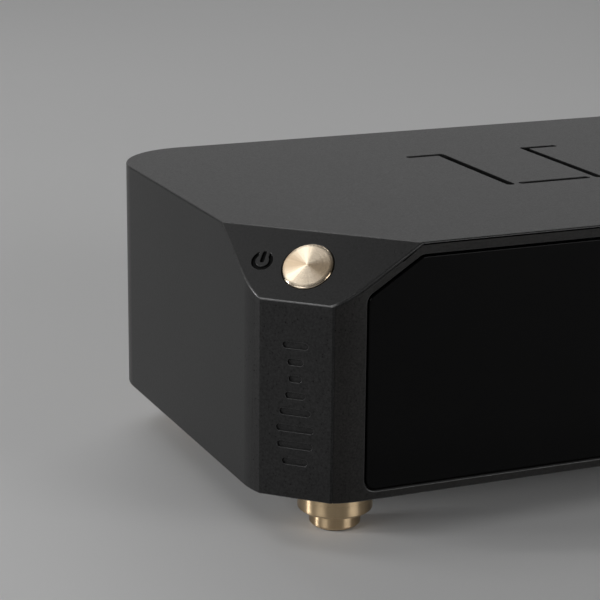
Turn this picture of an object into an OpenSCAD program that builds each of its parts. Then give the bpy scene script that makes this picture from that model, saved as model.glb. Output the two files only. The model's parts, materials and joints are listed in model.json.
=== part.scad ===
// Desktop digital-to-analogue converter: a machined case on turned brass feet, with a glass front,
// two corner buttons and a row of sockets at the back. X is width, -Y is the front, +Z is up.
// The origin is on the desk, under the middle of the whole object.

/* [Case] */
// Width of the case
body_w = 160; // [140:1:200]
// Depth of the case, without the sockets
body_d = 101; // [96:1:140]
// Height of the case, without the feet
body_h = 50; // [48:1:56]
// Radius of the four vertical edges
corner_r = 17; // [16:0.5:18.5]
// How far the vertical facet of a front corner cuts along each face
facet_cut = 12.3; // [11.5:0.1:13]
// Height of the facet, from the bottom of the case to the incline above it
facet_h = 39.1; // [38:0.1:40]
// How far the incline above the facet cuts along each face, at the top
incline_cut = 29.2; // [28:0.1:30]
// Wall thickness of the case
wall = 3; // [2.5:0.1:3.5]
// Thickness of the top
top_t = 3.1; // [3:0.1:4]
// Depth of the engraved marks
engrave_d = 0.45; // [0.2:0.05:0.8]

/* [Front] */
// Thickness of the front frame
frame_t = 4; // [3.8:0.1:5]
// Width of the seam under the front edge of the top
seam = 0.3; // [0.2:0.05:0.5]
// Distance from the side of the case to the glass
glass_side = 18.5; // [18:0.1:22]
// Distance from the bottom of the case to the glass
glass_low = 2.2; // [1.8:0.1:3]
// Distance from the top of the case to the glass
glass_high = 2.8; // [2.4:0.1:3.5]
// Corner radius of the glass
glass_r = 1.9; // [1:0.1:3]
// Thickness of the glass
glass_t = 1.8; // [1.2:0.1:2]

/* [Buttons] */
// Diameter of a button
button_dia = 10.1; // [8:0.1:11]
// How far a button can be pressed
button_travel = 0.8; // [0.3:0.1:1]

/* [Feet] */
// Height of a foot, pad included
foot_h = 10.5; // [9:0.5:14]
// Diameter of a foot's upper tier
foot_dia = 15; // [12:0.5:18]
// Diameter of a foot's lower tier
foot_low_dia = 10.2; // [8:0.2:11]

/* [Sockets] */
// How far the phono sockets stand out of the back of the case
jack_out = 9; // [8:0.5:10]
// Outside diameter of a phono socket
jack_dia = 8.3; // [8.2:0.05:8.4]

/* [Hidden] */
$fn = 64;
eps = 0.01;
fit = 0.12;
slip = 0.15;
// Land of the case beside the front frame, and the close joint between the two
land = 0.5;
joint_gap = 0.05;

// The case's outer planes
x_side = body_w / 2;
y_front = -(body_d + jack_out) / 2;
y_rear = y_front + body_d;
z_low = foot_h;
z_top = foot_h + body_h;

// The incline's rise, and its angle from level
incline_rise = body_h - facet_h;
incline_tilt = atan(incline_rise / (incline_cut - facet_cut) * sqrt(2));
// Where a facet meets the round of the vertical edge, measured from the side of the case
half_sum = corner_r - facet_cut / 2;
facet_edge = corner_r - half_sum + sqrt(corner_r * corner_r / 2 - half_sum * half_sum);
// Rise of the incline's edge across the front, for each millimetre along X
edge_slope = tan(incline_tilt) / sqrt(2);

// Front frame: a thin flange under the top's lip, and a thicker plate behind it
lip = 0.3;
flange_t = 2.6;
frame_back = y_front + frame_t;
glass_clip = 0.3;
glass_gap = 0.35;
window_x = 50;
window_low = 8;
window_high = 42;
window_ledge = 2;

// Bottom plate, boards and their fixings
plate_t = 2.5;
post_h = 4;
board_t = 1.6;
board_z = z_low + plate_t + post_h;
board_top = board_z + board_t;
board_front = y_front + 18;
board_rear = y_rear - 3.6;
screw_r = 1.25;
tap_r = 1.3;
head_r = 2.3;
head_h = 1.5;

// Rear panel and its row of sockets
panel_t = 2.5;
panel_out = y_rear - 0.4;
panel_in = panel_out - panel_t;
panel_x = 61;
panel_drop = 3.8;
socket_z = board_top + 9;
dc_x = 42;
usb_x = 23;
optical_x = 5.5;
coax_x = -10;
out_right_x = -27;
out_left_x = -43;
JACKS = [coax_x, out_right_x, out_left_x];
// Threaded barrel of a phono socket, through the panel, its ring and its nut
thread_r = 4.5;
thread_out = 3.2;

// Feet
foot_x = x_side - 19;
foot_front_y = y_front + 15.6;
foot_rear_y = y_rear - 15.6;
pad_h = 0.4;
foot_low_h = 3.3;

// Screws through the bottom plate: beside the walls, into the frame and into the rear posts
SIDE_SCREWS = [[x_side - 7.6, y_front + 40], [x_side - 7.6, y_front + 70]];
LUG_SCREW = [44, y_front + 8];
REAR_SCREW = [54.5, y_rear - 7];
// Fixings between the frame and the ribs of the case, and of the rear panel
rib_x = x_side - 16;
RIB_Z = [z_low + 9, z_low + 26];
panel_screw_x = 57;
PANEL_SCREW_Z = [z_low + 15, z_low + 40];
BOARD_SCREWS = [[56, board_front + 5], [60, y_rear - 30], [22, board_front + 5]];

// Button stack, measured inwards from the incline's face
cap_rise = 0.3;
cone_rise = 0.45;
cap_in = wall;
flange_r = button_dia / 2 + 0.65;
flange_in = cap_in + 1;
stem_in = flange_in + 1.5;
plunger_top = stem_in + 0.05;
plunger_h = 2.4;
switch_top = 7;
switch_in = 10.4;
switch_board_t = 1.2;
boss_x = 8;
// Distance from a button's axis to the mark beside it
mark_x = 9.45;

// ---- shared shapes ----

// Outline of the case seen from above, set in by a distance all round
module plan(inset = 0) {
    r = corner_r - inset;
    w = body_w - 2 * inset;
    d = body_d - 2 * inset;
    y_mid = (y_front + y_rear) / 2;
    difference() {
        translate([0, y_mid]) union() {
            square([w - 2 * r, d], center = true);
            square([w, d - 2 * r], center = true);
            for (sx = [-1, 1], sy = [-1, 1]) {
                translate([sx * (w / 2 - r), sy * (d / 2 - r)]) circle(r);
            }
        }
        for (side = [0, 1]) {
            mirror([side, 0]) translate([-x_side, y_front]) rotate(45) {
                translate([-10, -30]) square([10 + facet_cut / sqrt(2) + inset, 60]);
            }
        }
    }
}

// Space above the two inclines, set in by a distance
module above_inclines(inset = 0) {
    margin = 15;
    near = facet_cut / sqrt(2) + inset * sin(incline_tilt);
    low = z_low + facet_h - inset * cos(incline_tilt);
    drop = margin * tan(incline_tilt);
    for (side = [0, 1]) {
        mirror([side, 0, 0]) translate([-x_side, y_front, 0]) rotate([0, 0, 45]) {
            translate([0, 30, 0]) rotate([90, 0, 0]) linear_extrude(60) {
                polygon([[near - margin, low - drop], [near + 2 * margin, low + 2 * drop],
                    [near - margin, low + 2 * drop]]);
            }
        }
    }
}

// The case as a solid block, with its corners cut
module block(inset = 0, low = z_low, high = z_top) {
    difference() {
        translate([0, 0, low]) linear_extrude(high - low) plan(inset);
        above_inclines(inset);
    }
}

// Children are placed on the left incline, +Z out of its face, +Y up the slope; side 1 is the right
module on_incline(side) {
    reach = (facet_cut + incline_cut) / 4;
    mirror([side, 0, 0]) {
        translate([-x_side + reach, y_front + reach, z_top - incline_rise / 2]) {
            rotate([incline_tilt, 0, -45]) children();
        }
    }
}

// Children are placed on the left facet, +Z out of its face, +Y up, from the bottom of the case
module on_facet(side) {
    mirror([side, 0, 0]) {
        translate([-x_side + facet_cut / 2, y_front + facet_cut / 2, z_low]) rotate([90, 0, -45]) {
            children();
        }
    }
}

// Children are placed on the back, +Z out of the rear panel's face
module on_back(x, z) {
    translate([x, panel_out, z]) rotate([-90, 0, 0]) children();
}

// Where the incline's edge runs on the left of the front, gap inside it: x, then z, up to a height
function incline_edge(gap, high) = let (
        shift = gap / sqrt(1 + edge_slope * edge_slope),
        start = acos((corner_r - facet_cut + facet_edge) / corner_r),
        steps = 4)
    concat(
        [[-x_side + facet_edge + gap, z_low + facet_h - gap]],
        [for (i = [1:steps])
            let (
                a = start * (1 - i / steps),
                x = corner_r * (1 - sin(a)),
                y = corner_r * (1 - cos(a)))
            [-x_side + x + shift * edge_slope, z_low + facet_h + (x + y - facet_cut) * edge_slope - shift]],
        [[-x_side + facet_cut + shift * edge_slope + (high - z_low - facet_h + shift) / edge_slope, high]]);

// Outline of the front frame, seen from the front: x, then z
function frame_outline(gap, high, low = z_low) = let (
        edge = incline_edge(gap, high),
        last = len(edge) - 1)
    concat([[edge[0][0], low]], edge, [for (i = [last:-1:0]) [-edge[i][0], edge[i][1]]],
        [[-edge[0][0], low]]);

// Corners of the glass, before they are rounded, set in by a distance
function glass_points(inset) = let (
        x = x_side - glass_side - inset,
        low = z_low + glass_low + inset,
        high = z_top - glass_high - inset,
        chamfer_x = x_side - incline_cut - glass_clip - inset * 0.3,
        chamfer_z = high - (x - chamfer_x) * edge_slope)
    [[-x, low], [x, low], [x, chamfer_z], [chamfer_x, high], [-chamfer_x, high], [-x, chamfer_z]];

// Direction of the outward normal of an edge, in an outline drawn anticlockwise
function outward(p, q) = atan2(p[0] - q[0], q[1] - p[1]);

// A convex outline whose points are centres of corners: the shape within r of it
module rounded(points, r) {
    count = len(points);
    steps = 6;
    polygon([
        for (i = [0:count - 1])
            let (
                p = points[i],
                start = outward(points[(i + count - 1) % count], p),
                turn = (outward(p, points[(i + 1) % count]) - start + 360) % 360)
            for (k = [0:steps])
                p + r * [cos(start + turn * k / steps), sin(start + turn * k / steps)]]);
}

// A flat piece drawn seen from the front, standing from y to y + t
module upright(y, t) {
    translate([0, y + t, 0]) rotate([90, 0, 0]) linear_extrude(t) children();
}

// A box by its middle in X and its lowest corner in Y and Z
module block_at(x, y, z, w, d, h) {
    translate([x - w / 2, y, z]) cube([w, d, h]);
}

// A slot with round ends, drawn along X
module slot(length, width) {
    square([length - width, width], center = true);
    for (end = [-1, 1]) {
        translate([end * (length - width) / 2, 0]) circle(width / 2);
    }
}

// A screw standing on its shank's tip, head up, with a hexagon socket
module screw(length, r = screw_r, head = head_r, height = head_h) {
    difference() {
        union() {
            cylinder(r = r, h = length + eps);
            translate([0, 0, length]) cylinder(r = head, h = height);
        }
        translate([0, 0, length + height * 0.35]) cylinder(r = r * 0.75, h = height, $fn = 6);
    }
}

// ---- case ----

// Standby mark: an open ring and a bar
module standby_mark() {
    ring_r = 1.75;
    stroke = 0.8;
    difference() {
        circle(ring_r + stroke / 2);
        circle(ring_r - stroke / 2);
        translate([-1.05, 0]) square([2.1, 3]);
    }
    translate([0, 0.9]) rotate(90) slot(2.7, stroke);
}

// Select mark: a ring with a dot in it
module select_mark() {
    difference() {
        circle(2.15);
        circle(1.35);
    }
    circle(0.6);
}

// A column of bars whose lengths follow a wave
module wave_bars() {
    count = 8;
    for (i = [0:count - 1]) {
        translate([0, 7.5 + i * 3.3]) slot(5.2 + 2.6 * sin(i * 360 / 7), 1.3);
    }
}

// Vent slots in the top: a cross slot and two slots that turn outwards at their far ends
module vent_slots() {
    width = 1.8;
    bridge = 1.2;
    near = y_front + 39.6;
    far = y_front + 72.3;
    x = 10.7;
    wing = 7.5;
    translate([0, near]) slot(2 * x - width - 2 * bridge, width);
    for (sx = [-1, 1]) {
        translate([sx * x, (near + far) / 2]) rotate(90) slot(far - near + width, width);
        translate([sx * (x + wing / 2), far]) slot(wing + width, width);
    }
}

module shell() {
    post_w = 12;
    post_d = 11;
    color("#2b2b2b") difference() {
        union() {
            difference() {
                block();
                block(wall, z_low - 1, z_top - top_t);
            }
            intersection() {
                block(1);
                union() {
                    for (sx = [-1, 1]) {
                        // ribs behind the front frame
                        block_at(sx * (x_side - 14), frame_back + fit, z_low + 3, 12, 3, 29);
                        // posts beside the walls
                        for (p = SIDE_SCREWS) {
                            block_at(sx * (x_side - 5.8), p[1] - 4, z_low + plate_t + slip, 9.6, 8, 10);
                        }
                        // posts behind the rear panel
                        block_at(sx * (panel_x - 4), y_rear - 1 - post_d, z_low + plate_t + slip,
                            post_w, post_d, body_h - plate_t - slip - 1);
                    }
                }
            }
            // bosses for the switch boards
            for (side = [0, 1], sx = [-1, 1]) {
                on_incline(side) translate([sx * boss_x, 0, -switch_in]) cylinder(r = 2, h = switch_in - 2);
            }
        }
        // front opening: the lip covers the frame's flange, and the plate goes below the top
        upright(y_front - 1, 1 + flange_t + 0.1) polygon(frame_outline(land, z_top - lip, z_low - 1));
        upright(y_front - 1, 1 + frame_t + 0.1) polygon(frame_outline(land, z_top - top_t, z_low - 1));
        // rear opening
        block_at(0, panel_in - slip, z_low - 1, 2 * (panel_x + slip), 10,
            1 + body_h - panel_drop);
        // screw holes
        for (sx = [-1, 1]) {
            for (p = SIDE_SCREWS) {
                translate([sx * p[0], p[1], z_low]) cylinder(r = tap_r, h = 11);
            }
            translate([sx * REAR_SCREW[0], REAR_SCREW[1], z_low]) cylinder(r = tap_r, h = 10);
            for (z = RIB_Z) {
                translate([sx * rib_x, frame_back, z]) rotate([-90, 0, 0]) cylinder(r = tap_r, h = 8);
            }
            for (z = PANEL_SCREW_Z) {
                translate([sx * panel_screw_x, panel_in - 8, z]) rotate([-90, 0, 0]) {
                    cylinder(r = tap_r, h = 9);
                }
            }
        }
        translate([0, 0, z_top - top_t - 1]) linear_extrude(top_t + 2) vent_slots();
        for (side = [0, 1]) {
            on_incline(side) {
                translate([0, 0, -cap_in - 1]) cylinder(r = button_dia / 2 + slip, h = 6);
                for (sx = [-1, 1]) {
                    translate([sx * boss_x, 0, -switch_in - 1]) cylinder(r = 0.85, h = 6);
                }
            }
            on_facet(side) translate([0, 0, -engrave_d]) linear_extrude(2) wave_bars();
        }
        on_incline(0) translate([-mark_x, 0.25, -engrave_d]) linear_extrude(2) standby_mark();
        on_incline(1) translate([-mark_x, 0.25, -engrave_d]) linear_extrude(2) select_mark();
    }
}

module front_frame() {
    edge = land + joint_gap;
    color("#2a2725") difference() {
        union() {
            intersection() {
                block();
                union() {
                    upright(y_front, flange_t) polygon(frame_outline(edge, z_top - lip - seam));
                    upright(y_front, frame_t) polygon(frame_outline(edge, z_top - top_t - slip));
                }
            }
            // lugs for two of the bottom screws
            for (sx = [-1, 1]) {
                block_at(sx * LUG_SCREW[0], frame_back - 1, z_low + plate_t + slip, 7, 9, 4);
            }
        }
        // recess for the glass, and the display's opening through the frame
        upright(y_front - 1, 1 + glass_t + 0.3) rounded(glass_points(glass_r), glass_r + glass_gap);
        upright(y_front - 1, frame_t + 2) polygon([[-window_x, z_low + window_low],
            [window_x, z_low + window_low], [window_x, z_low + window_high],
            [-window_x, z_low + window_high]]);
        for (sx = [-1, 1]) {
            for (z = RIB_Z) {
                translate([sx * rib_x, frame_back - 3, z]) rotate([-90, 0, 0]) cylinder(r = tap_r, h = 5);
            }
            translate([sx * LUG_SCREW[0], LUG_SCREW[1], z_low]) cylinder(r = tap_r, h = 9);
            for (z = [z_low + window_low + 3, z_low + window_high - 3]) {
                translate([sx * (window_x + window_ledge), frame_back - 1.4, z]) rotate([-90, 0, 0]) {
                    cylinder(r = 0.85, h = 3);
                }
            }
        }
    }
}

module display_window() {
    color("#070708") upright(y_front, glass_t) rounded(glass_points(glass_r), glass_r);
}

module window_gasket() {
    color("#101010") difference() {
        upright(y_front + glass_t, 0.3) rounded(glass_points(glass_r), glass_r - 0.3);
        upright(y_front, frame_t) polygon([[-window_x, z_low + window_low],
            [window_x, z_low + window_low], [window_x, z_low + window_high],
            [-window_x, z_low + window_high]]);
    }
}

module display_module() {
    color("#1c2024") difference() {
        block_at(0, y_front + glass_t + 0.1, z_low + window_low + 0.5, 2 * window_x - 1,
            frame_t - glass_t + 0.05, window_high - window_low - 1);
        // the display's glass sits in a shallow tray
        block_at(0, y_front + glass_t, z_low + window_low + 3, 2 * window_x - 8,
            0.4, window_high - window_low - 6);
    }
}

module display_board() {
    color("#14351f") difference() {
        block_at(0, frame_back + slip, z_low + window_low - 1, 2 * (window_x + 4),
            1.2, window_high - window_low + 2);
        for (sx = [-1, 1], z = [z_low + window_low + 3, z_low + window_high - 3]) {
            translate([sx * (window_x + window_ledge), frame_back, z]) rotate([-90, 0, 0]) {
                cylinder(r = 0.95, h = 3);
            }
        }
    }
}

module display_screws() {
    tip = 1.3;
    color("#8d8f92") for (sx = [-1, 1], z = [z_low + window_low + 3, z_low + window_high - 3]) {
        translate([sx * (window_x + window_ledge), frame_back - tip, z]) rotate([-90, 0, 0]) {
            screw(tip + slip + 1.2, 0.8, 1.5, 0.9);
        }
    }
}

module frame_screws() {
    reach = 2.7;
    color("#8d8f92") for (sx = [-1, 1], z = RIB_Z) {
        translate([sx * rib_x, frame_back - reach, z]) rotate([-90, 0, 0]) screw(reach + fit + 3);
    }
}

// Dust felt under the vent slots
module vent_felt() {
    color("#0c0c0c") block_at(0, y_front + 36, z_top - top_t - 0.8, 48, 42, 0.8);
}

// ---- buttons ----

module button(side) {
    r = button_dia / 2;
    color("#c8a978") on_incline(side) rotate_extrude() {
        polygon([[0, -stem_in], [1.8, -stem_in], [1.8, -flange_in], [flange_r, -flange_in],
            [flange_r, -cap_in - 0.05], [r, -cap_in - 0.05], [r, cap_rise - 0.35], [r - 0.35, cap_rise],
            [0, cap_rise + cone_rise]]);
    }
}

module switch_plunger(side) {
    color("#171717") on_incline(side) translate([0, 0, -plunger_top - plunger_h]) {
        cylinder(r = 1.6, h = plunger_h);
    }
}

module switch_body(side) {
    size = 6;
    bore_in = plunger_top + plunger_h + button_travel + 0.3;
    color("#3a3a3c") on_incline(side) difference() {
        translate([-size / 2, -size / 2, -switch_in]) cube([size, size, switch_in - switch_top]);
        translate([0, 0, -bore_in]) cylinder(r = 1.7, h = 6);
    }
}

module switch_board(side) {
    color("#14351f") on_incline(side) difference() {
        translate([-boss_x - 2.5, -4, -switch_in - switch_board_t]) {
            cube([2 * boss_x + 5, 8, switch_board_t]);
        }
        for (sx = [-1, 1]) {
            translate([sx * boss_x, 0, -switch_in - 2]) cylinder(r = 0.95, h = 3);
        }
    }
}

module switch_screws() {
    length = switch_board_t + 3.5;
    color("#8d8f92") for (side = [0, 1], sx = [-1, 1]) {
        on_incline(side) translate([sx * boss_x, 0, -switch_in + 3.5]) rotate([180, 0, 0]) {
            screw(length, 0.8, 1.5, 0.9);
        }
    }
}

// ---- bottom ----

module bottom_plate() {
    color("#232323") difference() {
        intersection() {
            translate([0, 0, z_low]) linear_extrude(plate_t) plan(wall + slip);
            block_at(0, frame_back + 0.25, z_low - 1, body_w, body_d, plate_t + 2);
        }
        for (sx = [-1, 1]) {
            for (p = concat(SIDE_SCREWS, [LUG_SCREW, REAR_SCREW])) {
                translate([sx * p[0], p[1], z_low - 1]) {
                    cylinder(r = screw_r + slip, h = plate_t + 2);
                    cylinder(r = head_r + slip, h = 1 + head_h);
                }
            }
            for (y = [foot_front_y, foot_rear_y]) {
                translate([sx * foot_x, y, z_low - 1]) cylinder(r = 2.1, h = plate_t + 2);
            }
        }
        // air slots under the board
        for (i = [-3:3]) {
            translate([i * 7, 0, z_low - 1]) linear_extrude(plate_t + 2) rotate(90) slot(30, 2);
        }
    }
}

module bottom_screws() {
    color("#1d1d1f") for (sx = [-1, 1], p = concat(SIDE_SCREWS, [LUG_SCREW, REAR_SCREW])) {
        translate([sx * p[0], p[1], z_low + 8]) rotate([180, 0, 0]) screw(8 - head_h);
    }
}

module foot(sx, y) {
    r = foot_dia / 2;
    low_r = foot_low_dia / 2;
    step_z = pad_h + foot_low_h;
    color("#c9a36a") translate([sx * foot_x, y, 0]) difference() {
        rotate_extrude() polygon([[0, pad_h], [low_r - 0.6, pad_h], [low_r, pad_h + 0.6],
            [low_r, step_z], [r - 0.5, step_z], [r, step_z + 0.5], [r, foot_h - 0.4],
            [r - 0.4, foot_h], [0, foot_h]]);
        translate([0, 0, foot_h - 6]) cylinder(r = 2.05, h = 7);
        translate([0, 0, pad_h - 1]) cylinder(r = low_r - 1.2, h = 1.5);
    }
}

module foot_pad(sx, y) {
    color("#161616") translate([sx * foot_x, y, 0]) {
        cylinder(r = foot_low_dia / 2 - 1.3, h = pad_h + 0.45);
    }
}

module foot_screws() {
    color("#8d8f92") for (sx = [-1, 1], y = [foot_front_y, foot_rear_y]) {
        translate([sx * foot_x, y, foot_h - 5.5]) screw(5.5 + plate_t, 2, 3.5, 2.4);
    }
}

// ---- back ----

module rear_panel() {
    color("#262626") difference() {
        upright(panel_in, panel_t) polygon([[-panel_x, z_low + slip], [panel_x, z_low + slip],
            [panel_x, z_top - panel_drop - slip], [-panel_x, z_top - panel_drop - slip]]);
        for (sx = [-1, 1], z = PANEL_SCREW_Z) {
            on_back(sx * panel_screw_x, z) translate([0, 0, -panel_t - 1]) {
                cylinder(r = screw_r + slip, h = panel_t + 2);
            }
        }
        for (x = JACKS) {
            on_back(x, socket_z) translate([0, 0, -panel_t - 1]) cylinder(r = 5.2, h = panel_t + 2);
        }
        on_back(dc_x, socket_z) translate([0, 0, -panel_t - 1]) cylinder(r = 5.1, h = panel_t + 2);
        block_at(usb_x, panel_in - 1, board_top - 0.05, 12.3, panel_t + 2, 11.3);
        block_at(optical_x, panel_in - 1, board_top - 0.05, 10.3, panel_t + 2, 11.3);
    }
}

module rear_screws() {
    color("#1d1d1f") for (sx = [-1, 1], z = PANEL_SCREW_Z) {
        on_back(sx * panel_screw_x, z) translate([0, 0, -8]) screw(8);
    }
}

module board_posts() {
    color("#b9a26a") for (sx = [-1, 1], p = BOARD_SCREWS) {
        translate([sx * p[0], p[1], z_low + plate_t]) difference() {
            cylinder(r = 2.6, h = post_h, $fn = 6);
            translate([0, 0, -1]) cylinder(r = tap_r, h = post_h + 2);
        }
    }
}

module main_board() {
    step_y = y_rear - 14;
    color("#16402a") difference() {
        union() {
            block_at(0, board_front, board_z, 132, step_y - board_front, board_t);
            block_at(0, step_y - 1, board_z, 100, board_rear - step_y + 1, board_t);
        }
        for (sx = [-1, 1], p = BOARD_SCREWS) {
            translate([sx * p[0], p[1], board_z - 1]) cylinder(r = 1.4, h = board_t + 2);
        }
    }
}

module board_screws() {
    color("#8d8f92") for (sx = [-1, 1], p = BOARD_SCREWS) {
        translate([sx * p[0], p[1], board_top - board_t - 3.5]) screw(board_t + 3.5);
    }
}

// Square USB socket: a metal case around a mouth with two clipped corners
module usb_socket() {
    depth = 16;
    color("#a9abad") difference() {
        block_at(usb_x, panel_out - depth + 0.6, board_top, 12, depth, 11);
        upright(panel_out - depth + 1.8, depth) polygon([
            for (p = [[-4.23, 1.6], [4.23, 1.6], [4.23, 7.6], [2.6, 9.4], [-2.6, 9.4], [-4.23, 7.6]])
                [usb_x + p[0], board_top + p[1]]]);
    }
}

module usb_tongue() {
    color("#e6e6e2") block_at(usb_x, panel_out - 14.2, board_top + 3.9, 5.6, 13.4, 3.2);
}

// Optical socket: a square mouth closed by a shutter that swings in and up
module optical_socket() {
    depth = 13;
    color("#141414") difference() {
        block_at(optical_x, panel_out - depth + 0.6, board_top, 10, depth, 11);
        block_at(optical_x, panel_out - depth + 2.6, board_top + 1.5, 7, depth, 8.4);
    }
}

module optical_shutter() {
    y = panel_out - 0.6;
    color("#2e2e30") difference() {
        union() {
            block_at(optical_x, y - 0.9, board_top + 1.8, 6.6, 0.9, 6.9);
            translate([optical_x - 3.3, y - 0.75, board_top + 9]) rotate([0, 90, 0]) {
                cylinder(r = 0.7, h = 6.6);
            }
        }
        on_back(optical_x, board_top + 5) translate([0, 0, -0.9]) cylinder(r = 1.1, h = 2);
    }
}

// Phono socket: a plated tube on a threaded barrel, with a flange behind the panel's ring
module jack(x) {
    color("#c9a55c") on_back(x, socket_z) difference() {
        union() {
            translate([0, 0, -9]) cylinder(r = jack_dia / 2, h = 9 + jack_out + y_rear - panel_out);
            translate([0, 0, -9]) cylinder(r = thread_r, h = 9 + thread_out);
            translate([0, 0, -9]) cylinder(r = 6.4, h = 9 - panel_t - 0.8);
        }
        translate([0, 0, -8]) cylinder(r = 3.2, h = 30);
    }
}

module jack_cores() {
    color("#e9e7e0") for (x = JACKS) {
        on_back(x, socket_z) difference() {
            translate([0, 0, -8]) cylinder(r = 3.15, h = 8 + jack_out - 1);
            translate([0, 0, -2]) cylinder(r = 1.6, h = 20);
        }
    }
}

module jack_ring(x, tint) {
    color(tint) on_back(x, socket_z) difference() {
        union() {
            translate([0, 0, 0]) cylinder(r = 6.6, h = 1);
            translate([0, 0, -panel_t - 0.8]) cylinder(r = 5.1, h = panel_t + 1);
        }
        translate([0, 0, -panel_t - 2]) cylinder(r = thread_r + 0.05, h = 8);
    }
}

module jack_nuts() {
    color("#c9a55c") for (x = JACKS) {
        on_back(x, socket_z) translate([0, 0, 1]) difference() {
            cylinder(r = 6, h = 1.8, $fn = 6);
            translate([0, 0, -1]) cylinder(r = thread_r + 0.05, h = 5);
        }
    }
}

module dc_inlet() {
    color("#1a1a1a") on_back(dc_x, socket_z) difference() {
        union() {
            translate([0, 0, -12]) cylinder(r = 5, h = 12.2);
            cylinder(r = 6.6, h = 1.6);
        }
        translate([0, 0, -9.5]) cylinder(r = 2.85, h = 20);
    }
}

module dc_inlet_pin() {
    color("#c4c6c8") on_back(dc_x, socket_z) translate([0, 0, -9.5]) cylinder(r = 1.05, h = 9.3);
}

module dc_inlet_nut() {
    color("#8d8f92") on_back(dc_x, socket_z) translate([0, 0, -panel_t - 2.2]) difference() {
        cylinder(r = 7, h = 2.1, $fn = 6);
        translate([0, 0, -1]) cylinder(r = 5.05, h = 5);
    }
}

// ---- parts on the main board ----

// A flat chip with a row of legs along each long side
module chip(x, y, w, d, h = 1.2, legs = 8) {
    pitch = (d - 1) / legs;
    block_at(x, y, board_top + 0.15, w, d, h);
    for (i = [0:legs - 1]) {
        block_at(x, y + 0.5 + pitch * (i + 0.25), board_top, w + 2, pitch / 2, 0.3);
    }
}

module processor() {
    color("#1b1b1d") chip(16, board_front + 30, 14, 14, 1.4, 12);
}

module converter_chips() {
    color("#1b1b1d") for (sx = [-1, 1]) {
        chip(-22 + sx * 11, board_front + 32, 7, 10, 1.2, 8);
    }
}

module clock_cans() {
    color("#b4b6b8") for (i = [0, 1]) {
        block_at(2, board_front + 28 + i * 9, board_top, 7, 5, 1.8);
    }
}

module output_amplifiers() {
    color("#1b1b1d") for (i = [-1, 0, 1]) {
        chip(-35 + i * 12, board_front + 48, 4, 5, 1.5, 4);
    }
}

module capacitors() {
    color("#3b3f46") for (i = [0:4], row = [0, 1]) {
        translate([-54 + i * 11, board_front + 14 + row * 11, board_top]) difference() {
            cylinder(r = 4, h = 12);
            translate([0, 0, 0.6]) rotate_extrude() translate([4.1, 0.8]) circle(0.5);
        }
    }
}

module film_capacitors() {
    color("#8a2c24") for (i = [0:3]) {
        block_at(-50 + i * 9, board_front + 56, board_top, 7, 4.5, 8);
    }
}

module regulators() {
    color("#1b1b1d") for (sx = [-1, 1]) {
        block_at(44 + sx * 8, board_front + 24.4, board_top, 10, 4.4, 15);
    }
}

module heatsink() {
    fins = 7;
    base_t = 2.4;
    span = 34;
    x = 44;
    y = board_front + 29;
    color("#202022") union() {
        block_at(x, y, board_top, span, base_t, 22);
        for (i = [0:fins - 1]) {
            block_at(x - span / 2 + 0.8 + i * (span - 1.6) / (fins - 1), y, board_top, 1.4, 11, 22);
        }
    }
}

module shield_can() {
    x = 24;
    y = board_front + 50;
    color("#b4b6b8") difference() {
        block_at(x, y, board_top, 20, 11, 4);
        block_at(x, y + 0.4, board_top - 1, 19.2, 10.2, 4.6);
    }
}

module ribbon_connectors() {
    color("#d8d4c6") {
        block_at(0, board_front + 4, board_top, 20, 5, 4);
        block_at(0, frame_back + slip + 1.2, z_low + 24, 20, 3, 5);
    }
}

// Flat cable: up from the main board in a quarter turn, then forward to the display board
module ribbon_cable() {
    t = 0.6;
    turn = 6;
    y_up = board_front + 6.5;
    z_over = z_low + 26.5;
    y_plug = frame_back + slip + 1.2 + 3;
    color("#9aa0a6") translate([-8, 0, 0]) rotate([90, 0, 90]) linear_extrude(16) {
        translate([y_up - t / 2, board_top + 4]) square([t, z_over + t / 2 - turn - board_top - 4]);
        translate([y_plug, z_over - t / 2]) square([y_up + t / 2 - turn - y_plug, t]);
        translate([y_up + t / 2 - turn, z_over + t / 2 - turn]) difference() {
            intersection() {
                circle(turn);
                square(turn);
            }
            circle(turn - t);
        }
    }
}

shell();
front_frame();
display_window();
window_gasket();
display_module();
display_board();
display_screws();
frame_screws();
vent_felt();
button(0);  // power_button
button(1);  // select_button
switch_plunger(0);  // power_switch_plunger
switch_plunger(1);  // select_switch_plunger
switch_body(0);  // power_switch
switch_body(1);  // select_switch
switch_board(0);  // power_switch_board
switch_board(1);  // select_switch_board
switch_screws();
bottom_plate();
bottom_screws();
foot(-1, foot_front_y);  // foot_front_left
foot(1, foot_front_y);  // foot_front_right
foot(-1, foot_rear_y);  // foot_rear_left
foot(1, foot_rear_y);  // foot_rear_right
foot_pad(-1, foot_front_y);  // pad_front_left
foot_pad(1, foot_front_y);  // pad_front_right
foot_pad(-1, foot_rear_y);  // pad_rear_left
foot_pad(1, foot_rear_y);  // pad_rear_right
foot_screws();
rear_panel();
rear_screws();
board_posts();
main_board();
board_screws();
usb_socket();
usb_tongue();
optical_socket();
optical_shutter();
jack(coax_x);  // coax_jack
jack(out_right_x);  // line_out_right_jack
jack(out_left_x);  // line_out_left_jack
jack_cores();
jack_ring(coax_x, "#d07a1e");  // coax_ring
jack_ring(out_right_x, "#b3201c");  // line_out_right_ring
jack_ring(out_left_x, "#e9e7e0");  // line_out_left_ring
jack_nuts();
dc_inlet();
dc_inlet_pin();
dc_inlet_nut();
processor();
converter_chips();
clock_cans();
output_amplifiers();
capacitors();
film_capacitors();
regulators();
heatsink();
shield_can();
ribbon_cable();
ribbon_connectors();
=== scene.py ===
"""Looks of the desktop converter: rounded edges, turned brass and procedural finishes."""

import json
import math

import bmesh
import bpy
import numpy as np
from mathutils import Matrix, Vector


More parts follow.
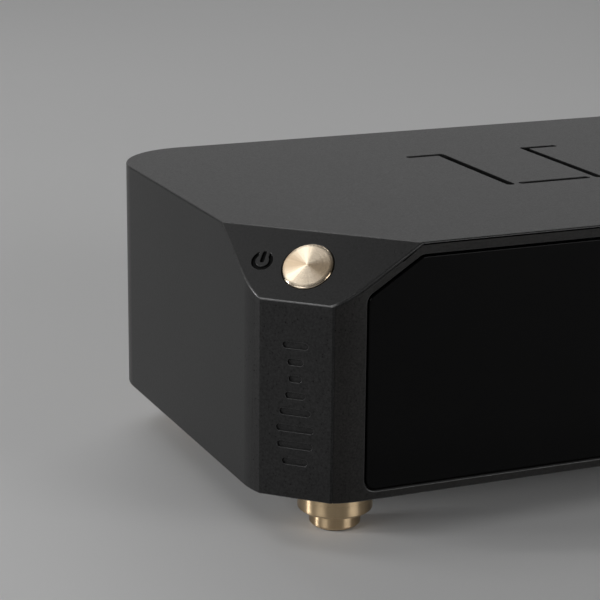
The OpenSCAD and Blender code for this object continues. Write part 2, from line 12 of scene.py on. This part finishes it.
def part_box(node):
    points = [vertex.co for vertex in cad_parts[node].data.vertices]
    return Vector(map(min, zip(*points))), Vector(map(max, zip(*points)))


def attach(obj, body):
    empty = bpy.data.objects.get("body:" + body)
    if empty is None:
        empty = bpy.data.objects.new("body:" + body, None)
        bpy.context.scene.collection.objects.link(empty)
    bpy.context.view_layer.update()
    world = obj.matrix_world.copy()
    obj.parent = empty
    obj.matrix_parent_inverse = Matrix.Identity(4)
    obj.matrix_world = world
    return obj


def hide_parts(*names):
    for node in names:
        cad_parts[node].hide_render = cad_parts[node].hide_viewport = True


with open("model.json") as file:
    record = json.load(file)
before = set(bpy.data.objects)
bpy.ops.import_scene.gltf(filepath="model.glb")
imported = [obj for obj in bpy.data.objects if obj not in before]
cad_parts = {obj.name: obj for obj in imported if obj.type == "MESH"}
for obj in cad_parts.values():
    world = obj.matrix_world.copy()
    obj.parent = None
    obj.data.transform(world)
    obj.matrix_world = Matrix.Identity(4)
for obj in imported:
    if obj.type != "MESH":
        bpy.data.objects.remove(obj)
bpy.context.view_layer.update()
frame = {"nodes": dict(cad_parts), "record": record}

MM = 0.001
CASE = "case"  # the body that everything fixed rides on
SHELL_LOW, SHELL_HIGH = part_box("shell")
CASE_H = SHELL_HIGH.z - SHELL_LOW.z

# the cuts at a front corner: along each side by the upright facet, then by the incline at the top
FACET_CUT = 12.3 * MM
INCLINE_CUT = 29.2 * MM
INCLINE_RISE = 10.9 * MM

GENTLE_ANGLE = 18  # degrees; the steps of a round meet at less than this
BEVEL_ANGLE = 32  # degrees; edges sharper than this are rounded
LATHE_STEPS = 96
ARC_STEPS = 6


# ---------------------------------------------------------------- camera

def make_camera():
    """A long lens, low and to the left of the front left corner."""
    azimuth, elevation, roll = (math.radians(a) for a in (-23.2, 15.46, 0.52))
    distance = 7.71 * CASE_H
    target = Vector((SHELL_LOW.x + 0.0874 * CASE_H, SHELL_LOW.y, SHELL_LOW.z + 0.8258 * CASE_H))
    back = Vector((
        math.sin(azimuth) * math.cos(elevation),
        -math.cos(azimuth) * math.cos(elevation),
        math.sin(elevation),
    ))
    level = Vector((0, 0, 1)).cross(back).normalized()
    upright = back.cross(level)
    right = level * math.cos(roll) + upright * math.sin(roll)
    up = upright * math.cos(roll) - level * math.sin(roll)
    data = bpy.data.cameras.new("camera")
    data.sensor_width = 36
    data.lens = 126.1
    data.clip_start = 0.01
    data.clip_end = 20
    camera = bpy.data.objects.new("camera", data)
    axes = Matrix((right, up, back)).transposed().to_4x4()
    camera.matrix_world = Matrix.Translation(target + back * distance) @ axes
    bpy.context.collection.objects.link(camera)
    bpy.context.scene.camera = camera


make_camera()


# ---------------------------------------------------------------- materials

def new_material(name):
    """A material with its shader, and a short way to add and link nodes."""
    mat = bpy.data.materials.new(name)
    mat.use_nodes = True
    tree = mat.node_tree
    shader = tree.nodes["Principled BSDF"]
    return mat, tree, shader


def add(tree, kind, **inputs):
    node = tree.nodes.new(kind)
    for key, value in inputs.items():
        name = key.replace("_", " ")
        if name in node.inputs:
            node.inputs[name].default_value = value
        else:
            setattr(node, key, value)
    return node


def object_coords(tree):
    return add(tree, "ShaderNodeTexCoord").outputs["Object"]


def noise(tree, coords, scale, detail=2.0, roughness=0.5, distortion=0.0):
    """Noise whose grain is about 1 / scale metres."""
    node = add(tree, "ShaderNodeTexNoise", Scale=scale, Detail=detail, Roughness=roughness)
    node.inputs["Distortion"].default_value = distortion
    tree.links.new(coords, node.inputs["Vector"])
    return node.outputs["Fac"]


def spread(tree, value, low, high, new_low, new_high):
    """Maps a value from one range to another."""
    node = tree.nodes.new("ShaderNodeMapRange")
    for slot, number in zip(range(1, 5), (low, high, new_low, new_high)):
        node.inputs[slot].default_value = number
    tree.links.new(value, node.inputs[0])
    return node.outputs[0]


def blend_colors(tree, fac, a, b):
    node = tree.nodes.new("ShaderNodeMix")
    node.data_type = "RGBA"
    node.inputs[6].default_value = (*a, 1)
    node.inputs[7].default_value = (*b, 1)
    tree.links.new(fac, node.inputs[0])
    return node.outputs[2]


def multiply(tree, a, b):
    node = tree.nodes.new("ShaderNodeMath")
    node.operation = "MULTIPLY"
    tree.links.new(a, node.inputs[0])
    tree.links.new(b, node.inputs[1])
    return node.outputs[0]


def bump(tree, shader, height, depth):
    """Adds relief whose full height is depth, in metres."""
    node = tree.nodes.new("ShaderNodeBump")
    node.inputs["Strength"].default_value = 1.0
    node.inputs["Distance"].default_value = depth
    tree.links.new(height, node.inputs["Height"])
    tree.links.new(node.outputs["Normal"], shader.inputs["Normal"])


def grained(name, dark, light, grain, rough, specular=0.5, metallic=0.0, relief=0.02):
    """A finish with fine grain: two shades, grain size in mm, range of roughness, relief in mm."""
    mat, tree, shader = new_material(name)
    coords = object_coords(tree)
    fine = noise(tree, coords, 1 / (grain * MM), 3, 0.65)
    broad = noise(tree, coords, 28, 3, 0.6)
    fine_shade = spread(tree, fine, 0.3, 0.7, 0.2, 1.0)
    broad_shade = spread(tree, broad, 0.3, 0.7, 0.75, 1.0)
    shade = multiply(tree, fine_shade, broad_shade)
    tree.links.new(blend_colors(tree, shade, dark, light), shader.inputs["Base Color"])
    tree.links.new(spread(tree, fine, 0.3, 0.7, *rough), shader.inputs["Roughness"])
    shader.inputs["Metallic"].default_value = metallic
    shader.inputs["Specular IOR Level"].default_value = specular
    bump(tree, shader, fine, relief * MM)
    return mat


def black_glass(name):
    """Gloss black glass with faint wipe marks in its gloss."""
    mat, tree, shader = new_material(name)
    coords = object_coords(tree)
    wipes = noise(tree, coords, 40, 4, 0.6, 0.6)
    dust = noise(tree, coords, 2500, 1)
    dark, light = (0.0012, 0.0012, 0.0013), (0.0018, 0.0018, 0.0019)
    tint = blend_colors(tree, spread(tree, wipes, 0.3, 0.7, 0, 1), dark, light)
    tree.links.new(tint, shader.inputs["Base Color"])
    tree.links.new(spread(tree, wipes, 0.35, 0.7, 0.03, 0.075), shader.inputs["Roughness"])
    shader.inputs["Specular IOR Level"].default_value = 0.07
    bump(tree, shader, dust, 0.0004 * MM)
    return mat


def turned_brass(name, color, shadow, rough, lines, anisotropic, streaks, painted_sheen=0.0):
    """Brass off a lathe, about the piece's own Z.

    lines is the spacing of its fine rings in mm, streaks how dark the fan of painted shade streaks
    round its middle is, and painted_sheen how much darker it is across one diameter than along it,
    a painted highlight in two opposite wedges that stands in for the lamps' reflection in the spun
    face.
    """
    mat, tree, shader = new_material(name)
    coords = object_coords(tree)
    split = tree.nodes.new("ShaderNodeSeparateXYZ")
    tree.links.new(coords, split.inputs[0])
    angle = tree.nodes.new("ShaderNodeMath")
    angle.operation = "ARCTAN2"
    tree.links.new(split.outputs["Y"], angle.inputs[0])
    tree.links.new(split.outputs["X"], angle.inputs[1])
    radius = tree.nodes.new("ShaderNodeVectorMath")
    radius.operation = "LENGTH"
    flat = tree.nodes.new("ShaderNodeCombineXYZ")
    tree.links.new(split.outputs["X"], flat.inputs["X"])
    tree.links.new(split.outputs["Y"], flat.inputs["Y"])
    tree.links.new(flat.outputs[0], radius.inputs[0])
    # rings depend on radius and height only, the painted shade streaks on the angle only
    ring_at = tree.nodes.new("ShaderNodeCombineXYZ")
    tree.links.new(radius.outputs["Value"], ring_at.inputs["X"])
    tree.links.new(split.outputs["Z"], ring_at.inputs["Y"])
    rings = noise(tree, ring_at.outputs[0], 1 / (lines * MM), 2, 0.6)
    wrap = tree.nodes.new("ShaderNodeVectorMath")
    wrap.operation = "NORMALIZE"
    tree.links.new(flat.outputs[0], wrap.inputs[0])
    # painted shade: random darker streaks round the middle stand in for the streaky reflection of a
    # spun face
    painted_streaks = noise(tree, wrap.outputs[0], 7, 3, 0.55)
    tone = spread(tree, painted_streaks, 0.3, 0.7, 1 - streaks, 1.0)
    # painted highlight: the base colour is paler along one diameter than across it, in place of the
    # lamps' reflection in a spun face
    sheen_angle = add(tree, "ShaderNodeMath", operation="MULTIPLY_ADD")
    tree.links.new(angle.outputs[0], sheen_angle.inputs[0])
    sheen_angle.inputs[1].default_value = 2
    sheen_angle.inputs[2].default_value = math.radians(10)
    painted_sheen_wave = add(tree, "ShaderNodeMath", operation="COSINE")
    tree.links.new(sheen_angle.outputs[0], painted_sheen_wave.inputs[0])
    tone = multiply(tree, tone, spread(tree, painted_sheen_wave.outputs[0], -0.2, 0.9, 1.0, 1 - painted_sheen))
    shade = multiply(tree, spread(tree, rings, 0.3, 0.7, 0.8, 1.0), tone)
    tree.links.new(blend_colors(tree, shade, shadow, color), shader.inputs["Base Color"])
    tree.links.new(spread(tree, rings, 0.3, 0.7, *rough), shader.inputs["Roughness"])
    shader.inputs["Metallic"].default_value = 1.0
    shader.inputs["Anisotropic"].default_value = anisotropic
    shader.inputs["Anisotropic Rotation"].default_value = 0.25
    tangent = tree.nodes.new("ShaderNodeTangent")
    tangent.direction_type = "RADIAL"
    tangent.axis = "Z"
    tree.links.new(tangent.outputs[0], shader.inputs["Tangent"])
    bump(tree, shader, rings, 0.002 * MM)
    return mat


def plated(name, dark, light, rough):
    """Plated or tinned metal with a fine drawn grain."""
    return grained(name, dark, light, 0.5, rough, metallic=1.0, relief=0.002)


def board_finish(name, mask, copper):
    """Solder mask over tracks: a lattice of lighter lines and small pads."""
    mat, tree, shader = new_material(name)
    coords = object_coords(tree)
    cells = add(tree, "ShaderNodeTexVoronoi", Scale=260)
    cells.distance = "MANHATTAN"
    cells.feature = "DISTANCE_TO_EDGE"
    tree.links.new(coords, cells.inputs["Vector"])
    tracks = spread(tree, cells.outputs["Distance"], 0.03, 0.06, 1, 0)
    tree.links.new(blend_colors(tree, tracks, mask, copper), shader.inputs["Base Color"])
    fine = noise(tree, coords, 2200, 2)
    tree.links.new(spread(tree, fine, 0.3, 0.7, 0.28, 0.4), shader.inputs["Roughness"])
    shader.inputs["Coat Weight"].default_value = 0.3
    bump(tree, shader, tracks, 0.03 * MM)
    return mat


def grey(value):
    return (value, value, value)


MATERIALS = {}


def finish(make, name, *values, **more):
    MATERIALS[name] = make(name, *values, **more)


def make_finishes():
    """One material for each slot of the record, and two for the lighter edges, partly wear and
    partly a painted highlight, and the floors of marks.
    """
    # case
    finish(grained, "shell_black", grey(0.0005), (0.02, 0.02, 0.0201), 0.45, (0.27, 0.38), 0.2)
    # lighter edges: partly wear, partly a painted highlight where the bevels catch the lamps
    finish(grained, "shell_edge_wear_and_highlight", grey(0.008), grey(0.035), 0.3, (0.26, 0.36), 0.45)
    finish(grained, "frame_black", (0.001, 0.0009, 0.0009), (0.02, 0.019, 0.018), 0.4,
        (0.27, 0.38), 0.2)
    finish(grained, "mark_black", grey(0.0015), grey(0.004), 0.3, (0.6, 0.8), 0.15)
    finish(black_glass, "window_glass")
    # turned brass paints shade streaks into its colour; the button's last value also paints a
    # highlight across one diameter
    finish(turned_brass, "button_brass", (0.97, 0.83, 0.65), (0.27, 0.19, 0.11), (0.17, 0.22), 0.4,
        0.95, 0.25, 0.75)
    finish(turned_brass, "foot_brass", (0.63, 0.48, 0.3), (0.3, 0.2, 0.11), (0.26, 0.33), 0.25,
        0.92, 0.1)
    finish(grained, "pad_rubber", grey(0.006), grey(0.016), 0.35, (0.7, 0.9), 0.3)
    finish(grained, "panel_black", grey(0.007), (0.022, 0.022, 0.023), 0.35, (0.45, 0.65), 0.4)
    finish(grained, "screw_black", grey(0.01), (0.03, 0.03, 0.032), 0.2, (0.3, 0.45), 0.5, 0.6)
    finish(plated, "screw_steel", (0.36, 0.36, 0.37), (0.6, 0.6, 0.61), (0.25, 0.4))
    # sockets
    finish(turned_brass, "socket_gold", (0.95, 0.72, 0.32), (0.6, 0.4, 0.15), (0.12, 0.2), 0.1,
        0.3, 0.1)
    finish(plated, "socket_steel", (0.5, 0.5, 0.51), (0.6, 0.61, 0.62), (0.24, 0.32))
    finish(grained, "socket_plastic", grey(0.006), (0.018, 0.018, 0.019), 0.3, (0.35, 0.5))
    finish(grained, "white_plastic", (0.66, 0.65, 0.61), (0.8, 0.79, 0.76), 0.4, (0.3, 0.45))
    finish(grained, "red_plastic", (0.3, 0.01, 0.01), (0.5, 0.02, 0.018), 0.4, (0.3, 0.45))
    finish(grained, "orange_plastic", (0.5, 0.15, 0.02), (0.78, 0.27, 0.03), 0.4, (0.3, 0.45))
    # inside
    finish(grained, "display_dark", (0.005, 0.006, 0.008), (0.013, 0.014, 0.018), 0.5, (0.1, 0.2))
    finish(grained, "gasket_foam", grey(0.004), grey(0.014), 0.4, (0.8, 0.95), 0.2)
    finish(grained, "felt_black", grey(0.003), grey(0.012), 0.2, (0.9, 1.0), 0.1, relief=0.1)
    finish(board_finish, "board_green", (0.008, 0.05, 0.022), (0.03, 0.13, 0.06))
    finish(grained, "chip_black", grey(0.01), (0.024, 0.024, 0.026), 0.25, (0.5, 0.7))
    finish(grained, "capacitor_sleeve", (0.02, 0.024, 0.034), (0.045, 0.055, 0.08), 0.6, (0.2, 0.3))
    finish(grained, "capacitor_film", (0.22, 0.015, 0.01), (0.36, 0.03, 0.02), 0.6, (0.2, 0.35))
    finish(plated, "can_tin", (0.45, 0.46, 0.47), (0.7, 0.71, 0.72), (0.25, 0.4))
    finish(grained, "heatsink_black", grey(0.012), grey(0.034), 0.4, (0.35, 0.5), 0.5, 0.5)
    finish(plated, "post_brass", (0.45, 0.34, 0.15), (0.72, 0.58, 0.3), (0.25, 0.35))
    finish(grained, "connector_cream", (0.5, 0.46, 0.36), (0.7, 0.66, 0.55), 0.5, (0.4, 0.55))
    finish(grained, "cable_grey", (0.22, 0.24, 0.26), (0.38, 0.4, 0.43), 0.9, (0.4, 0.55))


make_finishes()


# ---------------------------------------------------------------- mesh helpers

def link_piece(obj, slot, body, *nodes):
    """Puts a finished piece in the scene, on its body, in place of its CAD nodes."""
    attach(obj, body)
    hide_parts(*nodes)
    return obj


def smooth_by_angle(mesh):
    """Smooth shading over rounds only; a face that no gentle edge borders stays flat."""
    bm = bmesh.new()
    bm.from_mesh(mesh)
    for face in bm.faces:
        angles = [math.degrees(edge.calc_face_angle(0)) for edge in face.edges]
        face.smooth = any(0.5 < angle < GENTLE_ANGLE for angle in angles)
    bm.to_mesh(mesh)
    bm.free()
    mesh.set_sharp_from_angle(angle=math.radians(GENTLE_ANGLE))
    mesh.update()


def add_weighted_normals(obj):
    """A large flat face keeps its own normal, and the narrow faces beside it lean towards it."""
    mod = obj.modifiers.new("normals", "WEIGHTED_NORMAL")
    mod.mode = "FACE_AREA"
    mod.weight = 80
    mod.keep_sharp = True


def add_bevel(obj, width, segments=2, material=-1, by_weight=False):
    """Rounds every edge sharper than BEVEL_ANGLE, or each as far as its bevel weight says."""
    mod = obj.modifiers.new("edges", "BEVEL")
    mod.limit_method = "WEIGHT" if by_weight else "ANGLE"
    mod.angle_limit = math.radians(BEVEL_ANGLE)
    mod.width = width
    mod.segments = segments
    mod.use_clamp_overlap = not by_weight
    mod.harden_normals = True
    mod.miter_outer = "MITER_ARC"
    mod.material = material


def outer_faces(mesh):
    """For each face, whether no part of the mesh stands in front of it."""
    slack = 0.02 * MM
    verts = np.array([v.co for v in mesh.vertices])
    return [
        bool(((verts - np.array(face.center)) @ np.array(face.normal)).max() < slack)
        for face in mesh.polygons
    ]


def weigh_edges(mesh, weight_of):
    """Gives each sharp edge a bevel weight.

    weight_of takes how many of its two faces are outer ones, its middle, whether it is convex,
    and its angle in degrees.
    """
    outer = outer_faces(mesh)
    bm = bmesh.new()
    bm.from_mesh(mesh)
    bm.faces.ensure_lookup_table()
    weights = []
    for edge in bm.edges:
        weight = 0.0
        angle = math.degrees(edge.calc_face_angle(0))
        if angle > GENTLE_ANGLE:
            count = sum(outer[f.index] for f in edge.link_faces)
            middle = (edge.verts[0].co + edge.verts[1].co) / 2
            weight = weight_of(count, middle, edge.is_convex, angle)
        weights.append(weight)
    bm.free()
    layer = mesh.attributes.new("bevel_weight_edge", "FLOAT", "EDGE")
    layer.data.foreach_set("value", weights)


def body_of_node(node):
    for body, nodes in frame["record"]["behaviour"]["bodies"].items():
        if node in nodes:
            return body
    return CASE


SLOT_OF = {part["node"]: part["material_slot"] for part in frame["record"]["subparts"]}


def clean_copy(node):
    """The CAD node's shape with its seams welded and its flat faces whole."""
    weld, flat = 0.002 * MM, math.radians(0.4)
    mesh = frame["nodes"][node].data.copy()
    mesh.name = node + "_mesh"
    bm = bmesh.new()
    bm.from_mesh(mesh)
    bmesh.ops.remove_doubles(bm, verts=bm.verts, dist=weld)
    bmesh.ops.dissolve_limit(
        bm, angle_limit=flat, verts=bm.verts, edges=bm.edges, delimit={"NORMAL"})
    bmesh.ops.recalc_face_normals(bm, faces=bm.faces)
    bm.to_mesh(mesh)
    bm.free()
    mesh.materials.clear()
    return mesh


def refined(node, bevel, segments=2, edge_material=None, weight_of=None):
    """A piece with the CAD node's shape and real rounded edges, all alike or as weight_of says."""
    mesh = clean_copy(node)
    if mesh.has_custom_normals:
        mesh.normals_split_custom_set([(0, 0, 0)] * len(mesh.loops))
    mesh.materials.append(MATERIALS[SLOT_OF[node]])
    smooth_by_angle(mesh)
    obj = bpy.data.objects.new(node + "_piece", mesh)
    bpy.context.collection.objects.link(obj)
    if edge_material:
        mesh.materials.append(MATERIALS[edge_material])
    edge_slot = 1 if edge_material else -1
    if weight_of:
        weigh_edges(mesh, weight_of)
        add_bevel(obj, bevel, segments, edge_slot, by_weight=True)
        add_weighted_normals(obj)
    else:
        add_bevel(obj, bevel, segments, edge_slot)
    return link_piece(obj, SLOT_OF[node], body_of_node(node), node)


def arc(x, z, r, start, end):
    """Points of a profile round a corner; angles in degrees, 0 along +X."""
    turn = (end - start) / ARC_STEPS
    angles = [math.radians(start + turn * i) for i in range(ARC_STEPS + 1)]
    return [(x + r * math.cos(a), z + r * math.sin(a)) for a in angles]


def lathe_mesh(name, profile):
    """Turns a profile of (radius, height) points about Z. A zero radius closes the shape."""
    turns = [2 * math.pi / LATHE_STEPS * i for i in range(LATHE_STEPS)]
    bm = bmesh.new()
    rings = []
    for r, z in profile:
        if r == 0:
            rings.append([bm.verts.new((0, 0, z))])
        else:
            rings.append([bm.verts.new((r * math.cos(a), r * math.sin(a), z)) for a in turns])
    for a, b in zip(rings, rings[1:]):
        for i in range(LATHE_STEPS):
            j = (i + 1) % LATHE_STEPS
            corners = [a[i % len(a)], a[j % len(a)], b[j % len(b)], b[i % len(b)]]
            unique = list(dict.fromkeys(corners))
            if len(unique) > 2:
                bm.faces.new(unique)
    bmesh.ops.recalc_face_normals(bm, faces=bm.faces)
    mesh = bpy.data.meshes.new(name)
    bm.to_mesh(mesh)
    bm.free()
    smooth_by_angle(mesh)
    return mesh


def turned(name, profile, matrix, slot, body, nodes, bevel=0.0):
    """A turned piece: its profile, where its axis stands, and what it stands for."""
    mesh = lathe_mesh(name, profile)
    mesh.materials.append(MATERIALS[slot])
    obj = bpy.data.objects.new(name, mesh)
    bpy.context.collection.objects.link(obj)
    obj.matrix_world = matrix
    if bevel:
        add_bevel(obj, bevel)
    return link_piece(obj, slot, body, *nodes)


# ---------------------------------------------------------------- case

def make_shell():
    """The case, with lighter edges, partly wear and partly a painted highlight, and dark floors in
    the marks beside the buttons.
    """
    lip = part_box("front_frame")[1].z + 0.4 * MM
    joint_y = SHELL_LOW.y + 1.2 * MM

    def weight_of(outside, middle, convex, angle):
        if outside == 2:
            # the facet meets the round of the corner at a shallow angle, nearly unbroken
            return 0.0 if angle < 30 else 1.0
        if outside == 1 and convex:
            # the close joint with the front frame stays crisp
            return 0.0 if middle.y < joint_y and middle.z < lip else 0.3
        return 0.0

    obj = refined("shell", 0.28 * MM, 2, "shell_edge_wear_and_highlight", weight_of)
    obj.data.materials.append(MATERIALS["mark_black"])
    mark_slot = 2
    for side in (-1, 1):
        into = on_incline(side).inverted()
        for face in obj.data.polygons:
            spot = into @ face.center
            beside = 6 * MM < abs(spot.x) < 13 * MM and abs(spot.y) < 4 * MM
            if beside and -1 * MM < spot.z < -0.02 * MM:
                face.material_index = mark_slot


def make_front():
    """The front frame, rounded round the glass and along its bottom, and the glass."""
    low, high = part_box("display_window")
    edge = 0.8 * MM

    def weight_of(outside, middle, convex, _angle):
        if not outside or not convex:
            return 0.0
        beside_glass = low.x - edge < middle.x < high.x + edge
        level_with_glass = low.z - edge < middle.z < high.z + edge
        if beside_glass and level_with_glass:
            return 1.0
        return 0.7 if middle.z < SHELL_LOW.z + 0.1 * MM else 0.0

    # its edges round the glass and along its bottom get the lighter edge finish, partly wear and
    # partly a painted highlight
    refined("front_frame", 0.3 * MM, 2, "shell_edge_wear_and_highlight", weight_of)
    refined("display_window", 0.25 * MM, 3)


# ---------------------------------------------------------------- buttons

def on_incline(side):
    """Where a button's axis meets its incline, Z out of the face. side is -1 on the left."""
    reach = (FACET_CUT + INCLINE_CUT) / 4
    tilt = math.atan(INCLINE_RISE / (INCLINE_CUT - FACET_CUT) * math.sqrt(2))
    place = Vector((
        side * (SHELL_HIGH.x - reach),
        SHELL_LOW.y + reach,
        SHELL_HIGH.z - INCLINE_RISE / 2,
    ))
    slope = math.sin(tilt) / math.sqrt(2)
    out = Vector((side * slope, -slope, math.cos(tilt)))
    across = Vector((1, side, 0)).normalized()
    axes = Matrix((across, out.cross(across), out)).transposed().to_4x4()
    return Matrix.Translation(place) @ axes


def make_button(side, node, body):
    """A spun cap with a polished rim, its shoulder and its stem."""
    cap_r, rim, rise, cone = 5.05 * MM, 0.35 * MM, 0.3 * MM, 0.45 * MM
    shoulder_r, shoulder_z, under_z = 5.7 * MM, -3.05 * MM, -4 * MM
    stem_r, stem_z = 1.8 * MM, -5.5 * MM
    face_r, face_steps = cap_r - rim, 10
    profile = [(0, stem_z), (stem_r, stem_z), (stem_r, under_z)]
    profile += [(shoulder_r, under_z), (shoulder_r, shoulder_z)]
    profile += [(cap_r, shoulder_z), (cap_r, rise - rim)]
    profile += arc(face_r, rise - rim, rim, 0, 60)[1:]
    for i in range(face_steps):
        profile.append((face_r * (1 - i / face_steps), rise + cone * i / face_steps))
    profile.append((0, rise + cone))
    turned(node + "_piece", profile, on_incline(side), "button_brass", body, [node])


def make_buttons():
    make_button(-1, "power_button", "power_button_group")
    make_button(1, "select_button", "select_button_group")


# ---------------------------------------------------------------- feet

def make_foot(corner):
    """A foot of two tiers, with a seat for its pad underneath."""
    node = "foot_" + corner
    low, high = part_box(node)
    centre = (low + high) / 2
    bottom, top = low.z, high.z
    upper_r, lower_r, step_z = (high.x - low.x) / 2, 5.1 * MM, 3.7 * MM
    seat_r, seat_z = lower_r - 1.2 * MM, bottom + 0.5 * MM
    lower_cut, step_cut, top_cut = 0.6 * MM, 0.5 * MM, 0.4 * MM
    profile = [(0, seat_z), (seat_r, seat_z), (seat_r, bottom)]
    profile += [(lower_r - lower_cut, bottom), (lower_r, bottom + lower_cut), (lower_r, step_z)]
    profile += [(upper_r - step_cut, step_z), (upper_r, step_z + step_cut)]
    profile += [(upper_r, top - top_cut), (upper_r - top_cut, top), (0, top)]
    place = Matrix.Translation((centre.x, centre.y, 0))
    turned(node + "_piece", profile, place, "foot_brass", CASE, [node], 0.06 * MM)


def make_feet():
    for corner in ("front_left", "front_right", "rear_left", "rear_right"):
        make_foot(corner)
        refined("pad_" + corner, 0.1 * MM)


# ---------------------------------------------------------------- the other nodes

def make_others():
    """Every other CAD node keeps its shape, with small rounded edges."""
    made = ("shell", "front_frame", "display_window", "power_button", "select_button",
        "foot_front", "foot_rear", "pad_")
    for node in frame["nodes"]:
        if not node.startswith(made):
            refined(node, 0.08 * MM)


# ---------------------------------------------------------------- stage

def make_stage():
    """A plain pale floor."""
    bpy.ops.mesh.primitive_plane_add(size=12, location=(0, 0, 0))
    floor = bpy.context.object
    floor.name = "floor"
    mat, tree, shader = new_material("floor_pale")
    coords = object_coords(tree)
    tone = noise(tree, coords, 3, 2)
    pale = blend_colors(tree, tone, grey(0.62), grey(0.67))
    tree.links.new(pale, shader.inputs["Base Color"])
    shader.inputs["Roughness"].default_value = 0.55
    shader.inputs["Specular IOR Level"].default_value = 0.3
    floor.data.materials.append(mat)


def make_light(name, azimuth, elevation, size, watts):
    """A soft box facing the case. Azimuth runs from straight behind it towards its left."""
    aim, distance = Vector((0, 0, 0.03)), 1.2
    turn, lift = math.radians(azimuth), math.radians(elevation)
    out = Vector((
        -math.sin(turn) * math.cos(lift),
        math.cos(turn) * math.cos(lift),
        math.sin(lift),
    ))
    data = bpy.data.lights.new(name, "AREA")
    data.shape = "RECTANGLE"
    data.size, data.size_y = size
    data.energy = watts
    obj = bpy.data.objects.new(name, data)
    obj.location = aim + out * distance
    obj.rotation_mode = "QUATERNION"
    obj.rotation_quaternion = out.to_track_quat("Z", "Y")
    bpy.context.collection.objects.link(obj)


def make_lights():
    """Six soft boxes and a faint even light all round."""
    make_light("behind_box", -18, 19, (1.3, 0.45), 0.95)
    make_light("behind_high_box", -14, 52, (1.0, 0.2), 2.2)
    make_light("left_strip", 74, 8, (0.1, 0.45), 6.5)
    make_light("left_front_box", 112, 22, (0.5, 0.45), 4.6)
    make_light("right_front_box", -150, 14, (0.6, 0.4), 4.6)
    make_light("high_left_box", 67, 59, (0.45, 0.4), 1.3)
    world = bpy.data.worlds.new("studio")
    world.use_nodes = True
    background = world.node_tree.nodes["Background"]
    background.inputs["Color"].default_value = (*grey(1), 1)
    background.inputs["Strength"].default_value = 0.05
    bpy.context.scene.world = world


# ---------------------------------------------------------------- build

make_shell()
make_front()
make_buttons()
make_feet()
make_others()
make_stage()
make_lights()
bpy.context.scene.view_settings.view_transform = "Standard"
